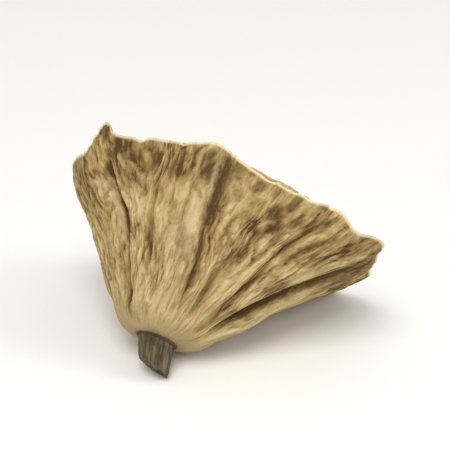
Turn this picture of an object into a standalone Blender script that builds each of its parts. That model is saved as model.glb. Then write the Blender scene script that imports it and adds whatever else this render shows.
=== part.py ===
"""A dried lotus pod that lies on its side, with its seed face towards -Y and up.

The pod is one grown piece: the cut stub of its stem, the wrinkled wall that flares from the stub, the rim, and the
face with its empty seed sockets. It is turned and shaped upright, stem down, and laid on the ground at the end.
Units are metres, +Z is up, and the ground is z = 0.
"""

import math

import bmesh
import bpy
import numpy as np
from mathutils import Euler, Matrix, Vector

# The pod upright: its axis is +Z, angles run round it from +X, and it lies on its side at 270 degrees.
RIM_RADIUS = 0.0402
WALL_HEIGHT = 0.0395
FACE_OFFSET = Vector((-0.0050, -0.0014))
COLUMNS = 120

# The mean outline of the wall: height above its foot as a share of the wall, and radius as a share of the rim's.
FLARE = ((0.0, 0.10), (0.01, 0.155), (0.04, 0.235), (0.09, 0.295), (0.16, 0.34), (0.29, 0.437), (0.42, 0.53),
         (0.55, 0.63), (0.68, 0.742), (0.8, 0.85), (0.9, 0.932), (1.0, 1.0))
# Rows of points on the wall, as shares of its height, and on the face, as shares of the rim's radius.
WALL_ROWS = (0.97, 0.90, 0.81, 0.71, 0.61, 0.51, 0.41, 0.32, 0.235, 0.16, 0.09, 0.04, 0.01, 0.0)
FACE_RINGS = (1.0, 0.975, 0.945, 0.90, 0.80, 0.60, 0.36, 0.0)

# How the rim departs from a flat circle, in metres: degrees, outwards and upwards.
RIM = (
    (5, 0.0000, -0.0046),
    (20, 0.0004, -0.0046),
    (33, 0.0002, -0.0042),
    (43, 0.0002, -0.0044),
    (49, 0.0002, -0.0022),
    (54, 0.0004, 0.0026),
    (60, 0.0000, -0.0008),
    (72, -0.0002, -0.0020),
    (90, 0.0009, -0.0024),
    (108, 0.0011, -0.0009),
    (120, 0.0002, -0.0034),
    (140, 0.0004, -0.0038),
    (156, 0.0008, -0.0028),
    (168, 0.0012, -0.0038),
    (180, 0.0030, -0.0014),
    (194, 0.0006, -0.0012),
    (208, 0.0004, -0.0004),
    (228, 0.0012, 0.0000),
    (251, 0.0048, 0.0000),
    (270, 0.0006, 0.0000),
    (290, 0.0053, 0.0000),
    (320, 0.0010, -0.0014),
    (345, -0.0004, -0.0034),
)
NOTCHES, NOTCH_RISE, NOTCH_SEED = 72, 0.0005, 3

# Deep creases of the wall: depth, half width, and the path from the stub to the rim as heights on the wall (shares)
# and degrees. A crease fades out over an end part of its length, unless it reaches the rim, where it is shallower.
CREASES = (
    (0.0022, 0.0013, ((0.10, 20), (0.45, 17), (0.80, 12))),
    (0.0036, 0.0013, ((0.05, 60), (0.50, 58), (0.70, 56), (0.86, 51))),
    (0.0009, 0.0011, ((0.30, 84), (0.60, 82), (0.90, 88))),
    (0.0012, 0.0013, ((0.18, 118), (0.42, 112), (0.66, 106), (1.00, 106))),
    (0.0012, 0.0011, ((0.10, 140), (0.40, 134), (0.70, 131))),
    (0.0014, 0.0012, ((0.08, 160), (0.35, 156), (0.70, 152), (1.00, 152))),
    (0.0030, 0.0014, ((0.06, 176), (0.28, 178), (0.60, 186), (0.90, 189))),
    (0.0022, 0.0013, ((0.14, 214), (0.50, 212), (0.84, 216))),
    (0.0024, 0.0014, ((0.08, 242), (0.50, 236), (0.90, 238))),
    (0.0020, 0.0016, ((0.15, 276), (0.60, 272), (0.97, 270))),
    (0.0028, 0.0013, ((0.10, 298), (0.50, 302), (0.88, 305))),
    (0.0022, 0.0014, ((0.22, 338), (0.60, 336), (1.00, 332))),
)
CREASE_END = 0.25
CREASE_SHARPNESS = 1.5
RIM_SHALLOWING = 0.6
RIM_SHALLOWS_FROM, RIM_SHALLOWS_OVER = 0.6, 0.25
# The swelling beside a crease: its height as a share of the depth, and where it lies and how far it spreads, in
# half widths of the crease.
SHOULDER = 0.30
SHOULDER_AWAY, SHOULDER_SPREAD = 2.6, 1.8
# The columns of points that go with a crease: their places beside its middle one, counted in columns and measured
# in half widths of the crease, or in this much of the mean spacing where that is less.
CREASE_COLUMNS = ((-2, -1.7), (-1, -0.75), (0, 0.0), (1, 0.75), (2, 1.7))
CREASE_CROWDING = 1.3

# Broad lobes and narrow ribs of the wall, which fade in above the foot and fade partly out below the rim.
LOBES, LOBE_ROWS, LOBE_RISE, LOBE_SEED = 9, 2, 0.0008, 5
RIBS, RIB_ROWS, RIB_RISE, RIB_SEED = 36, 3, 0.0011, 11
FOOT_FADE = 0.2
RIM_FADE, RIM_FADE_FROM = 0.3, 0.75
# How the rim's outward departures grow up the wall.
OUT_POWER = 3

# The face: how far its level lies below the rim's, its dome, its slope towards +X, and the bead along the rim.
FACE_SINK = 0.0022
FACE_DOME = 0.0030
FACE_SLOPE = 0.045
BEAD_RISE = 0.0006
BEAD_SHARE, BEAD_WIDTH = 0.972, 0.02
# The face follows the rim's waves, averaged over these turns in degrees, up to this share of the radius; from the
# edge's share on it follows the rim itself.
WAVE_TURNS = (-36, -24, -12, 0, 12, 24, 36)
WAVE_SHARE = 0.9
EDGE_SHARE = 0.88
# The outer part of the face takes up the wall's relief from this share of the radius on.
RELIEF_SHARE = 0.8

# The stub of the stem: a short post that leans as it goes down and is cut aslant.
STUB_LENGTH = 0.0064
STUB_RADIUS = 0.0049
STUB_ROOT = 0.0030
STUB_LEAN = Vector((-0.0020, -0.0004))
STUB_SLANT = 0.30
STUB_TAPER = 0.14
STUB_OVAL, STUB_FLUTES = 0.05, 0.03
STUB_BEND = 1.5
STUB_SIDES, STUB_ROWS = 20, 4

# Seed sockets: distance from the face's middle as a share of the rim's radius, sockets in each ring, and the
# first one's angle in degrees.
SOCKET_RINGS = ((0.04, 1, 200), (0.39, 5, 20), (0.715, 11, 0))
SOCKET_SEED = 3
SOCKET_STRAY = 0.0011
SOCKET_SEPTUM = 0.0027
SOCKET_MARGIN = 0.0046
SOCKET_WIDEST = 0.0072
SOCKET_ROUNDING = 8.0
SOCKET_FOCUS = 0.058
SOCKET_DEPTH = 0.0138
SOCKET_HEAD, SOCKET_HEAD_FLARE = 0.0032, 0.0006
SOCKET_SEGMENTS = 16
# Rings of a socket below its mouth: depth as a share of the whole, and width as a share of the mouth's.
SOCKET_PROFILE = ((1.0, 0.34), (0.85, 0.66), (0.44, 0.92))
LIP_WIDTH = 0.0013
LIP_RISE = 0.0005
LIP_ROOT = 0.0020
# Rings of a lip: distance out of the mouth as a share of the lip's width, and height as a share of its rise.
LIP_PROFILE = ((1.15, -1.0), (0.55, 0.75), (0.0, 1.0))

# How it lies: the turn about the pod's own axis and the lean of that axis from upright.
ROLL = math.radians(-1.84)
LEAN = math.radians(49.82)
FLAT_DEPTH = 0.0004

POD_COLOUR = (0.445, 0.342, 0.162, 1.0)
POD_ROUGHNESS = 0.75


def smooth(share):
    """An ease from 0 to 1, flat at both ends."""
    share = np.clip(share, 0.0, 1.0)
    return share * share * (3.0 - 2.0 * share)


def through(points, at, period=None):
    """Reads a smooth curve through (position, value) points, which is closed if it has a period."""
    x, y = np.array(points, float).T
    if period:
        x = np.concatenate([x[-3:] - period, x, x[:3] + period])
        y = np.concatenate([y[-3:], y, y[:3]])
    slope = np.gradient(y, x)
    i = np.clip(np.searchsorted(x, at, side="right") - 1, 0, len(x) - 2)
    step = x[i + 1] - x[i]
    t = (at - x[i]) / step
    start = (1 + 2 * t) * (1 - t) ** 2 * y[i] + t * (1 - t) ** 2 * step * slope[i]
    return start + t * t * (3 - 2 * t) * y[i + 1] + t * t * (t - 1) * step * slope[i + 1]


def ripple(turn, up, count, rows, seed):
    """Smooth noise from -1 to 1 over the wall, with count swells round it and rows along it."""
    lattice = np.random.default_rng(seed).uniform(-1, 1, (count, rows + 1))
    across = np.mod(turn, 1.0) * count
    along = np.clip(up, 0.0, 1.0) * rows
    i = np.floor(across).astype(int) % count
    j = np.minimum(np.floor(along).astype(int), rows - 1)
    s, t = smooth(across - np.floor(across)), smooth(along - j)
    low = lattice[i, j] * (1 - s) + lattice[(i + 1) % count, j] * s
    high = lattice[i, j + 1] * (1 - s) + lattice[(i + 1) % count, j + 1] * s
    return low * (1 - t) + high * t


def flare(up):
    """Mean radius of the wall, in metres."""
    return RIM_RADIUS * through(FLARE, up)


def rim_out(angle):
    """How far the rim stands out of its mean circle."""
    table = [(degrees, out) for degrees, out, _ in RIM]
    return through(table, np.mod(np.degrees(angle), 360.0), 360.0)


def rim_up(angle):
    """Height of the rim above the wall's foot."""
    table = [(degrees, up) for degrees, _, up in RIM]
    notches = NOTCH_RISE * ripple(np.asarray(angle) / math.tau, np.ones(np.shape(angle)), NOTCHES, 1, NOTCH_SEED)
    return WALL_HEIGHT + through(table, np.mod(np.degrees(angle), 360.0), 360.0) + notches


def crease_angle(crease, up):
    """Where a crease runs, in radians. Below its start it keeps straight on towards the stub."""
    heights, degrees = zip(*crease[2])
    return math.radians(float(np.interp(up, heights, degrees)))


def column_angles(up):
    """Angles of the columns of points at one height: they keep to the creases and crowd round them."""
    columns, angles = [], []
    spacing = math.tau / COLUMNS
    for crease in CREASES:
        path = crease[2]
        middle = round(COLUMNS * path[len(path) // 2][1] / 360.0)
        width = min(crease[1] / float(flare(up)), CREASE_CROWDING * spacing)
        for offset, apart in CREASE_COLUMNS:
            columns.append(middle + offset)
            angles.append(crease_angle(crease, up) + apart * width)
    columns = np.array([columns[-1] - COLUMNS, *columns, columns[0] + COLUMNS], float)
    angles = np.array([angles[-1] - math.tau, *angles, angles[0] + math.tau])
    return np.interp(np.arange(COLUMNS), columns, angles)


def crease_relief(angle, up):
    """Outward relief of the deep creases: each sinks along its middle and swells a little beside it."""
    relief = np.zeros_like(angle)
    for crease in CREASES:
        deep, half_width, path = crease
        start, end = path[0][0], path[-1][0]
        share = (up - start) / (end - start)
        if not 0.0 <= share <= 1.0:
            continue
        if end < 1.0:
            ending = smooth((1.0 - share) / CREASE_END)
        else:
            ending = 1.0 - RIM_SHALLOWING * smooth((up - RIM_SHALLOWS_FROM) / RIM_SHALLOWS_OVER)
        sunk = deep * smooth(share / CREASE_END) * ending
        apart = np.mod(angle - crease_angle(crease, up) + math.pi, math.tau) - math.pi
        distance = np.abs(apart) * flare(up) / half_width
        relief -= sunk * np.exp(-(distance**CREASE_SHARPNESS))
        relief += SHOULDER * sunk * np.exp(-((distance - SHOULDER_AWAY) ** 2) / SHOULDER_SPREAD)
    return relief


def wall_relief(angle, up):
    """Outward relief of the wall at one height: broad lobes, ribs that run along the columns, and the creases."""
    turn = np.arange(len(angle)) / len(angle)
    lobes = LOBE_RISE * ripple(angle / math.tau, np.full_like(angle, up), LOBES, LOBE_ROWS, LOBE_SEED)
    ribs = RIB_RISE * ripple(turn, np.full_like(angle, up), RIBS, RIB_ROWS, RIB_SEED)
    below_rim = smooth((up - RIM_FADE_FROM) / (1.0 - RIM_FADE_FROM))
    body = smooth(up / FOOT_FADE) * (1.0 - RIM_FADE * below_rim)
    return (lobes + ribs) * body + crease_relief(angle, up)


def face_up(angle, share):
    """Height of the face above the wall's foot, at a share of the rim's radius.

    The face domes, and follows the slow waves of the rim more and more towards it; only its edge follows the rim
    itself, behind a low bead.
    """
    around = [rim_up(angle + math.radians(turn)) for turn in WAVE_TURNS]
    waves = sum(around) / len(around)
    level = WALL_HEIGHT - FACE_SINK - FACE_SLOPE * RIM_RADIUS * share * np.cos(angle)
    follow = smooth(share / WAVE_SHARE)
    edge = smooth((share - EDGE_SHARE) / (1.0 - EDGE_SHARE))
    inner = level * (1.0 - follow) + waves * follow + FACE_DOME * (1.0 - share**4)
    bead = BEAD_RISE * np.exp(-(((share - BEAD_SHARE) / BEAD_WIDTH) ** 2))
    return inner * (1.0 - edge) + rim_up(angle) * edge + bead * (share < 0.999)


def on_face(x, y, rise=0.0):
    """The point of the face over (x, y) from its middle, or one that stands above it by rise."""
    up = float(face_up(math.atan2(y, x), math.hypot(x, y) / RIM_RADIUS))
    return Vector((x + FACE_OFFSET.x, y + FACE_OFFSET.y, STUB_LENGTH + up + rise))


def turned_blank():
    """The pod as turned on its axis: face and wall, with the rows of points that the shaping moves."""
    profile = [(RIM_RADIUS * share, WALL_HEIGHT) for share in reversed(FACE_RINGS)]
    profile += [(float(flare(up)), WALL_HEIGHT * up) for up in WALL_ROWS]
    profile.append((0.0, 0.0))
    mesh = bpy.data.meshes.new("profile")
    mesh.from_pydata([(r, 0.0, z) for r, z in profile], [(i, i + 1) for i in range(len(profile) - 1)], [])
    blank = bpy.data.objects.new("blank", mesh)
    bpy.context.scene.collection.objects.link(blank)
    screw = blank.modifiers.new("turn", "SCREW")
    screw.steps = screw.render_steps = COLUMNS
    screw.use_merge_vertices = True
    screw.merge_threshold = 1e-5
    graph = bpy.context.evaluated_depsgraph_get()
    turned = bpy.data.meshes.new_from_object(blank.evaluated_get(graph))
    bpy.data.objects.remove(blank)
    return turned


def shape(points):
    """Moves the points of the turned blank to the pod's real surface."""
    x, y, z = points.T
    column = np.rint(np.arctan2(y, x) / math.tau * COLUMNS).astype(int) % COLUMNS
    share = np.hypot(x, y) / RIM_RADIUS
    height = np.round(z / WALL_HEIGHT, 6)
    moved = points.copy()
    for up in np.unique(height):
        row = height == up
        angles = column_angles(up)
        relief = wall_relief(angles, up)
        angle, part = angles[column[row]], share[row]
        if up == 1.0:
            outer = smooth((part - RELIEF_SHARE) / (1.0 - RELIEF_SHARE))
            out = part * (RIM_RADIUS + rim_out(angle)) + relief[column[row]] * outer
            level = np.where(part > 0.999, rim_up(angle), face_up(angle, part))
        else:
            out = part * RIM_RADIUS + (rim_out(angle) * up**OUT_POWER + relief[column[row]]) * (part > 0.001)
            level = up * rim_up(angle)
        moved[row] = np.column_stack([
            out * np.cos(angle) + FACE_OFFSET.x * up,
            out * np.sin(angle) + FACE_OFFSET.y * up,
            level + STUB_LENGTH,
        ])
    return moved


def make_pod(collection, material):
    """The pod's body, upright, before its stub is joined on and its sockets are cut."""
    mesh = turned_blank()
    points = np.empty(len(mesh.vertices) * 3)
    mesh.vertices.foreach_get("co", points)
    mesh.vertices.foreach_set("co", shape(points.reshape(-1, 3)).ravel())
    mesh.materials.clear()
    mesh.materials.append(material)
    mesh.shade_smooth()
    mesh.update()
    pod = bpy.data.objects.new("lotus_pod", mesh)
    collection.objects.link(pod)
    return pod


def tube(name, rings):
    """A closed body through rings of points, which are lists of the same length."""
    body = bmesh.new()
    loops = [[body.verts.new(point) for point in ring] for ring in rings]
    count = len(loops[0])
    for low, high in zip(loops, loops[1:]):
        for i in range(count):
            j = (i + 1) % count
            body.faces.new((low[i], low[j], high[j], high[i]))
    body.faces.new(reversed(loops[0]))
    body.faces.new(loops[-1])
    mesh = bpy.data.meshes.new(name)
    body.to_mesh(mesh)
    body.free()
    return bpy.data.objects.new(name, mesh)


def stub():
    """The stub of the stem, from inside the wall's foot to its slanting cut."""
    rings = []
    for row in range(STUB_ROWS + 1):
        down = row / STUB_ROWS
        ring = []
        for side in range(STUB_SIDES):
            angle = math.tau * side / STUB_SIDES
            radius = STUB_RADIUS * (1.0 + STUB_OVAL * math.cos(2.0 * angle) + STUB_FLUTES * math.sin(5.0 * angle))
            radius *= 1.0 - STUB_TAPER * smooth(down)
            x = radius * math.cos(angle) + STUB_LEAN.x * down**STUB_BEND
            y = radius * math.sin(angle) + STUB_LEAN.y * down**STUB_BEND
            z = (STUB_LENGTH + STUB_ROOT) * (1.0 - down) + STUB_SLANT * x * down
            ring.append((x, y, z))
        rings.append(ring)
    return tube("stub", list(reversed(rings)))


def socket_places():
    """Middles of the sockets' mouths: rings that stray a little, as (x, y) from the face's middle."""
    draw = np.random.default_rng(SOCKET_SEED)
    places = []
    for ring, count, first in SOCKET_RINGS:
        for n in range(count):
            angle = math.radians(first + 360.0 * n / count)
            away = ring * (RIM_RADIUS + float(rim_out(angle)))
            stray = draw.uniform(-1, 1, 2) * SOCKET_STRAY
            places.append(np.array([away * math.cos(angle), away * math.sin(angle)]) + stray)
    return places


def mouth_radius(place, others, angle):
    """Radius of a socket's mouth in one direction: it rounds off where the walls to its neighbours would be."""
    way = np.array([math.cos(angle), math.sin(angle)])
    limits = [1.0 / SOCKET_WIDEST]
    for other in others:
        apart = other - place
        distance = float(np.hypot(*apart))
        facing = float(apart @ way) / distance
        if facing > 0.0:
            limits.append(facing / (distance / 2.0 - SOCKET_SEPTUM / 2.0))
    toward = float(np.hypot(*place))
    if toward > RIM_RADIUS / 2.0:
        facing = float(place @ way) / toward
        rim = RIM_RADIUS + float(rim_out(math.atan2(place[1], place[0])))
        if facing > 0.0:
            limits.append(facing / (rim - SOCKET_MARGIN - toward))
    return sum(limit**SOCKET_ROUNDING for limit in limits) ** (-1.0 / SOCKET_ROUNDING)


def socket_bodies():
    """For each socket its lip, a low ring round the mouth, and its cutter, a cup that narrows to its end."""
    places = socket_places()
    angles = [math.tau * i / SOCKET_SEGMENTS for i in range(SOCKET_SEGMENTS)]
    for number, place in enumerate(places):
        others = [other for i, other in enumerate(places) if i != number]
        radii = [mouth_radius(place, others, angle) for angle in angles]
        mouth = on_face(*place)
        inward = (on_face(0.0, 0.0) - Vector((0.0, 0.0, SOCKET_FOCUS)) - mouth).normalized()
        turn = Vector((0.0, 0.0, -1.0)).rotation_difference(inward)

        def across(out, rise):
            """A ring over the face, this far out of the mouth and above the face."""
            ways = [(r + out, math.cos(a), math.sin(a)) for r, a in zip(radii, angles)]
            return [on_face(place[0] + far * x, place[1] + far * y, rise) for far, x, y in ways]

        cup = []
        for depth, width in SOCKET_PROFILE:
            ways = [Vector((r * width * math.cos(a), r * width * math.sin(a), 0.0)) for r, a in zip(radii, angles)]
            cup.append([mouth + inward * SOCKET_DEPTH * depth + turn @ way for way in ways])
        cup += [across(0.0, 0.0), across(SOCKET_HEAD_FLARE, SOCKET_HEAD)]
        lip = [across(0.0, -LIP_ROOT)]
        lip += [across(LIP_WIDTH * out, LIP_RISE * rise) for out, rise in LIP_PROFILE]
        yield tube(f"lip_{number}", lip), tube(f"socket_{number}", cup)


def apply_modifiers(pod):
    """Keeps the evaluated mesh as the pod's own."""
    graph = bpy.context.evaluated_depsgraph_get()
    mesh = bpy.data.meshes.new_from_object(pod.evaluated_get(graph))
    pod.modifiers.clear()
    pod.data = mesh


def boolean(pod, operation, group, solver="EXACT"):
    """Joins a collection to the pod or cuts it away, and removes the collection with its objects."""
    cut = pod.modifiers.new(operation.lower(), "BOOLEAN")
    cut.operation = operation
    cut.operand_type = "COLLECTION"
    cut.collection = group
    cut.solver = solver
    apply_modifiers(pod)
    for helper in list(group.objects):
        bpy.data.objects.remove(helper)
    bpy.data.collections.remove(group)


def box_of(pod):
    """Low and high corner of the pod's bounding box."""
    corners = np.array([vertex.co for vertex in pod.data.vertices])
    return corners.min(axis=0), corners.max(axis=0)


def lay_down(pod):
    """Lays the pod on its side, cuts its low points flat at the ground, and centres it over the origin."""
    turn = Euler((LEAN, 0.0, 0.0)).to_matrix().to_4x4() @ Matrix.Rotation(ROLL, 4, "Z")
    pod.data.transform(turn)
    low, _ = box_of(pod)
    pod.data.transform(Matrix.Translation((0.0, 0.0, -low[2] - FLAT_DEPTH)))
    far = 4.0 * RIM_RADIUS
    square = ((-far, -far), (far, -far), (far, far), (-far, far))
    ground = new_collection("ground", True)
    add_helper(ground, tube("slab", [[(x, y, z) for x, y in square] for z in (-RIM_RADIUS, 0.0)]))
    boolean(pod, "DIFFERENCE", ground, "MANIFOLD")
    low, high = box_of(pod)
    middle = (low + high) / 2.0
    pod.data.transform(Matrix.Translation((-middle[0], -middle[1], 0.0)))


def pod_material():
    material = bpy.data.materials.new("dried_pod")
    material.use_nodes = True
    shader = material.node_tree.nodes["Principled BSDF"]
    shader.inputs["Base Color"].default_value = POD_COLOUR
    shader.inputs["Roughness"].default_value = POD_ROUGHNESS
    shader.inputs["Metallic"].default_value = 0.0
    return material


def new_collection(name, hidden):
    collection = bpy.data.collections.new(name)
    bpy.context.scene.collection.children.link(collection)
    collection.hide_render = hidden
    return collection


def add_helper(collection, helper):
    """Links a body that is only joined on or cut away, and shows it as a wire."""
    helper.display_type = "WIRE"
    helper.hide_render = True
    collection.objects.link(helper)


def main():
    for old in list(bpy.data.objects):
        bpy.data.objects.remove(old)
    parts = new_collection("dried_lotus_pod", False)
    added = new_collection("added", True)
    cutters = new_collection("cutters", True)
    pod = make_pod(parts, pod_material())
    add_helper(added, stub())
    for lip, cup in socket_bodies():
        add_helper(added, lip)
        add_helper(cutters, cup)
    boolean(pod, "UNION", added)
    boolean(pod, "DIFFERENCE", cutters)
    lay_down(pod)


main()
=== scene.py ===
"""The dried lotus pod as it looks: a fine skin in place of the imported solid, its surface, light and camera.

The skin follows the solid's formulas, in the same place. It adds the wall's fine wrinkles, the rim's thin
edge, the lips and ribs of the seed sockets, and the air canals in the cut of the stem. Units are metres.
"""

import math

import bpy
import numpy as np
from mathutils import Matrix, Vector
from mathutils.geometry import delaunay_2d_cdt

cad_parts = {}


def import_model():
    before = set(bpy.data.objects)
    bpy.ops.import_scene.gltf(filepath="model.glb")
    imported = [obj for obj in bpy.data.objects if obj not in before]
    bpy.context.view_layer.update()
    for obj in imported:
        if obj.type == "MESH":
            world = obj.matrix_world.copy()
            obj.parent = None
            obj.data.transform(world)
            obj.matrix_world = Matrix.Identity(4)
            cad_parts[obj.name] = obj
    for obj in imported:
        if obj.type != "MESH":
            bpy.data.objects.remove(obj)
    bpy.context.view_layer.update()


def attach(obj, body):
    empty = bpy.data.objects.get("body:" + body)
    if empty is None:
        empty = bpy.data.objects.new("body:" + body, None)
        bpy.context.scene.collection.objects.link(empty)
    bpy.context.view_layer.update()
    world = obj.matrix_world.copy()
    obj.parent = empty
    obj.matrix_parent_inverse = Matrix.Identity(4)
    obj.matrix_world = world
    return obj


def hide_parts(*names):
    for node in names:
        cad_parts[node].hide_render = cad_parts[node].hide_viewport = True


# The pod upright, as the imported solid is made: its axis is +Z, and angles run round it from +X.
RIM_RADIUS = 0.0402
WALL_HEIGHT = 0.0395
FACE_OFFSET = np.array((-0.0050, -0.0014))
COLUMNS = 120
FLARE = ((0.0, 0.10), (0.01, 0.155), (0.04, 0.235), (0.09, 0.295), (0.16, 0.34), (0.29, 0.437), (0.42, 0.53),
         (0.55, 0.63), (0.68, 0.742), (0.8, 0.85), (0.9, 0.932), (1.0, 1.0))
# How the rim departs from a flat circle: degrees, outwards and upwards.
RIM = (
    (5, 0.0000, -0.0046), (20, 0.0004, -0.0046), (33, 0.0002, -0.0042), (43, 0.0002, -0.0044),
    (49, 0.0002, -0.0022), (54, 0.0004, 0.0026), (60, 0.0000, -0.0008), (72, -0.0002, -0.0020),
    (90, 0.0009, -0.0024), (108, 0.0011, -0.0009), (120, 0.0002, -0.0034), (140, 0.0004, -0.0038),
    (156, 0.0008, -0.0028), (168, 0.0012, -0.0038), (180, 0.0030, -0.0014), (194, 0.0006, -0.0012),
    (208, 0.0004, -0.0004), (228, 0.0012, 0.0000), (251, 0.0048, 0.0000), (270, 0.0006, 0.0000),
    (290, 0.0053, 0.0000), (320, 0.0010, -0.0014), (345, -0.0004, -0.0034),
)
NOTCHES, NOTCH_RISE, NOTCH_SEED = 72, 0.0005, 3
# Deep creases of the wall: depth, half width, and the path as heights on the wall (shares) and degrees.
CREASES = (
    (0.0022, 0.0013, ((0.10, 20), (0.45, 17), (0.80, 12))),
    (0.0036, 0.0013, ((0.05, 62), (0.25, 60), (0.50, 61), (0.62, 61), (0.72, 56), (0.86, 51))),
    (0.0009, 0.0011, ((0.30, 84), (0.60, 82), (0.90, 88))),
    (0.0012, 0.0013, ((0.18, 121), (0.38, 119), (0.50, 115.5), (0.60, 112.5), (1.00, 111))),
    (0.0012, 0.0011, ((0.10, 140), (0.40, 134), (0.70, 131))),
    (0.0014, 0.0012, ((0.08, 160), (0.35, 156), (0.70, 152), (1.00, 152))),
    (0.0030, 0.0014, ((0.06, 176), (0.28, 178), (0.60, 186), (0.90, 189))),
    (0.0022, 0.0013, ((0.14, 214), (0.50, 212), (0.84, 216))),
    (0.0024, 0.0014, ((0.08, 242), (0.50, 236), (0.90, 238))),
    (0.0020, 0.0016, ((0.15, 276), (0.60, 272), (0.97, 270))),
    (0.0028, 0.0013, ((0.10, 298), (0.50, 302), (0.88, 305))),
    (0.0022, 0.0014, ((0.22, 338), (0.60, 336), (1.00, 332))),
)
CREASE_END = 0.25
CREASE_SHARPNESS = 1.5
RIM_SHALLOWING = 0.6
RIM_SHALLOWS_FROM, RIM_SHALLOWS_OVER = 0.6, 0.25
SHOULDER = 0.30
SHOULDER_AWAY, SHOULDER_SPREAD = 2.6, 1.8
CREASE_COLUMNS = ((-2, -1.7), (-1, -0.75), (0, 0.0), (1, 0.75), (2, 1.7))
CREASE_CROWDING = 1.3
LOBES, LOBE_ROWS, LOBE_RISE, LOBE_SEED = 9, 2, 0.0008, 5
RIBS, RIB_ROWS, RIB_RISE, RIB_SEED = 36, 3, 0.0011, 11
FOOT_FADE = 0.2
RIM_FADE, RIM_FADE_FROM = 0.3, 0.75
OUT_POWER = 3
FACE_SINK = 0.0022
FACE_DOME = 0.0030
FACE_SLOPE = 0.045
BEAD_RISE = 0.0006
BEAD_SHARE, BEAD_WIDTH = 0.972, 0.02
WAVE_TURNS = (-36, -24, -12, 0, 12, 24, 36)
WAVE_SHARE = 0.9
EDGE_SHARE = 0.88
RELIEF_SHARE = 0.8
STUB_LENGTH = 0.0064
STUB_RADIUS = 0.0049
STUB_ROOT = 0.0030
STUB_LEAN = (-0.0020, -0.0004)
STUB_SLANT = 0.30
STUB_TAPER = 0.14
STUB_OVAL, STUB_FLUTES = 0.05, 0.03
STUB_BEND = 1.5
SOCKET_RINGS = ((0.04, 1, 200), (0.39, 5, 20), (0.715, 11, 0))
SOCKET_SEED = 3
SOCKET_STRAY = 0.0011
SOCKET_SEPTUM = 0.0027
SOCKET_MARGIN = 0.0046
SOCKET_WIDEST = 0.0072
SOCKET_ROUNDING = 8.0
SOCKET_FOCUS = 0.058
SOCKET_DEPTH = 0.0138
SOCKET_PROFILE = ((0.0, 1.0), (0.44, 0.92), (0.85, 0.66), (1.0, 0.34))
LIP_RISE = 0.0005
# How it lies: the turn about its own axis, the lean of that axis, and the shift to the solid's place.
ROLL = math.radians(-1.84)
LEAN = math.radians(49.82)
SHIFT = np.array((0.0069407, 0.0301643, 0.0033913))

# The skin's grid. The wall has FINE columns, and half as many where its mean radius is below NARROW_BELOW.
FINE = 560
ROW_STEP = 0.00043
RIM_ROWS = (1.0, 0.9965, 0.9925, 0.988)
NARROW_BELOW = 0.0137
FOOT_UP = 0.012
# Rings of the face next to the rim, as shares of the rim's radius, and the grid inside them.
BAND = (0.997, 0.990, 0.980, 0.968, 0.955, 0.942)
BAND_GAP = 0.008
FILL_STEP = 0.00060
LIP_FOOT = 0.0009
LIP_GAP = 0.0003
FILL_REACH, FILL_STRAY, FILL_SEED = 0.006, 0.1, 81
MOUTH_SIDES = 64
# The cups: rows, how far in and up from the mouth's edge they begin, and their ribs.
CUP_ROWS = 15
CUP_EDGE_IN, CUP_EDGE_UP = 0.00007, 0.0002
CUP_RIB_RISE, CUP_RIBS, CUP_RIB_ROWS, CUP_RIB_SEED = 0.00022, 17, 3, 110
# How far the skin's thin rim stands above the solid's, and how ragged it is: height, swells round it, seed.
RIM_FIN, RIM_FIN_FROM = 0.00035, 0.975
RIM_RAGS = (0.00028, 170, 61)
# The painted shade line along a crease's middle: the depth at which it is full, how it fades with less, its
# share of the width.
LINE_DEPTH, LINE_POWER, LINE_WIDTH = 0.0036, 0.8, 0.8
# How the wrinkles wander round the wall and along it: how far, swells round the wall, rows, seed.
WANDER_ROUND = ((0.0075, 26, 5, 21), (0.0022, 80, 12, 22))
WANDER_ALONG = (0.05, 60, 5, 23)
# Layers of wrinkles: swells round the wall, rows, seed, sharpness, depth, mean, how dark the painted shade in
# their valleys is, and the height at which a layer sets in and over which it does.
WRINKLES = (
    (58, 4, 31, 5.0, 0.00062, 0.30, 0.62, -1.00, 1.00),
    (116, 7, 32, 4.5, 0.00044, 0.30, 0.62, 0.08, 0.20),
    (210, 13, 33, 3.2, 0.00026, 0.35, 0.40, 0.25, 0.30),
    (124, 17, 34, 4.0, 0.00022, 0.30, 0.32, 0.15, 0.30),
)
# Broad patches of stronger and weaker wrinkles: swells round the wall, rows, seed.
PATCHES = (14, 4, 24)
# What is a hollow of the wall, where shade is painted: rows and columns averaged each way around it, and the
# depth that is painted fully dark.
HOLLOWS = ((3, 5, 0.0006), (8, 16, 0.0014))
# The pale collar above the stub, and the light edge of the rim: heights on the wall, as shares.
COLLAR_TOP, COLLAR_FADE = 0.09, 0.08
RIM_LIGHT_FROM, RIM_LIGHT_OVER = 0.987, 0.007
# The short folds in the face's margin: swells, rows, seed, sharpness, depth, and where they set in.
MARGIN_FOLDS, MARGIN_FOLD_DEPTH = (84, 3, 75, 3.0), 0.00034
MARGIN_FROM, MARGIN_OVER = 0.72, 0.16
# The channels between two mouths that are close to each other.
CHANNEL_DEPTH = 0.00030
# How uneven the sockets' mouths are: how far, swells round the mouth, first seed.
MOUTH_UNEVEN = ((0.00030, 5, 160), (0.00016, 13, 60), (0.00013, 23, 260))
# The stub in the skin: grooves along it, and where its side begins, as a share of its length from the root.
STUB_GROOVES = (22, 2, 51, 4.5)
STUB_GROOVE_DEPTH = 0.00020
STUB_TOP, STUB_ROWS = 0.345, 20
CUT_RINGS = (0.95, 0.86, 0.76, 0.66, 0.56, 0.46, 0.36, 0.26, 0.15)
CANAL_DEPTH, CUT_HOLLOW = 0.0014, 0.0003
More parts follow.
